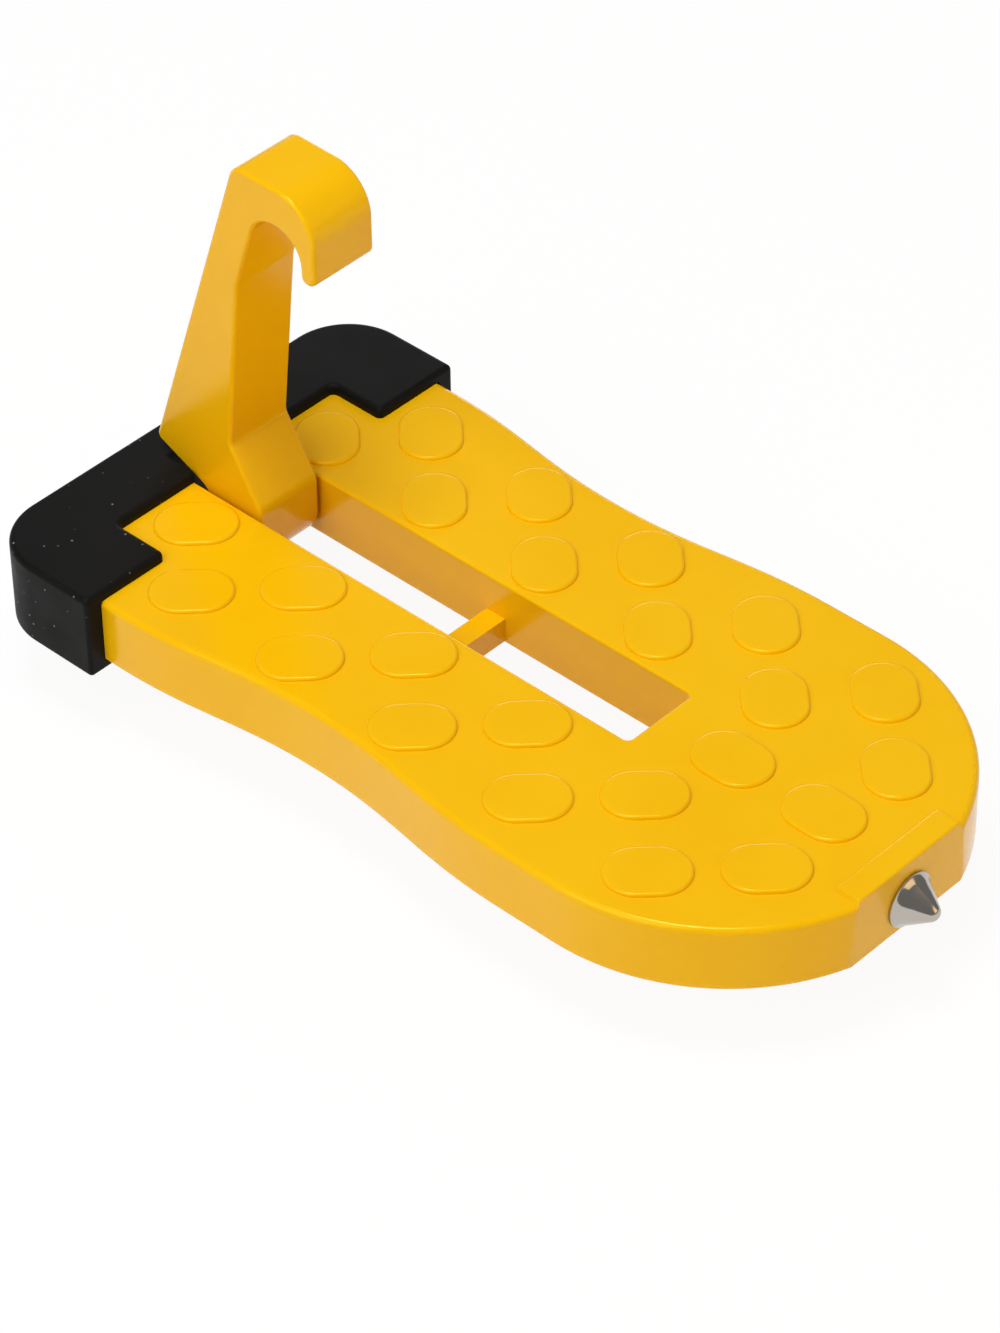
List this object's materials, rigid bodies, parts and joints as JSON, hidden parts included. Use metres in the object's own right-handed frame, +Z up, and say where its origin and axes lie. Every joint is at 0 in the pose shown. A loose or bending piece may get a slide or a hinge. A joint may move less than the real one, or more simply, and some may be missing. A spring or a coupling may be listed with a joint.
{
  "type": "door latch step",
  "caption": "Folding foot step with a waisted, padded tread, a striker hook on a hinge pin, a rubber bumper and a pointed breaker tip on the toe.",
  "frame": {"origin": "middle of the footprint, at the underside of the rubber bumper", "axes": "+Z up from the tread, +Y towards the bumper and the vehicle, toe at -Y, X across the step"},
  "size_m": [0.092, 0.1798, 0.0893],
  "materials": {
    "yellow_coat": "satin yellow powder coat on cast aluminium",
    "black_rubber": "moulded matte black rubber",
    "pin_steel": "ground steel pin",
    "polished_steel": "turned and polished hard steel"
  },
  "bodies": {
    "step": {"step_plate": "yellow_coat", "rubber_bumper": "black_rubber", "hinge_pin": "pin_steel", "breaker_tip": "polished_steel"},
    "hook": {"hook_arm": "yellow_coat"}
  },
  "joints": [
    {"name": "hook_fold", "type": "hinge", "parent": "step", "child": "hook", "pos_m": [0, 0.06535, 0.0087], "axis": [1, 0, 0], "range_deg": [-3, 87.5]}
  ]
}
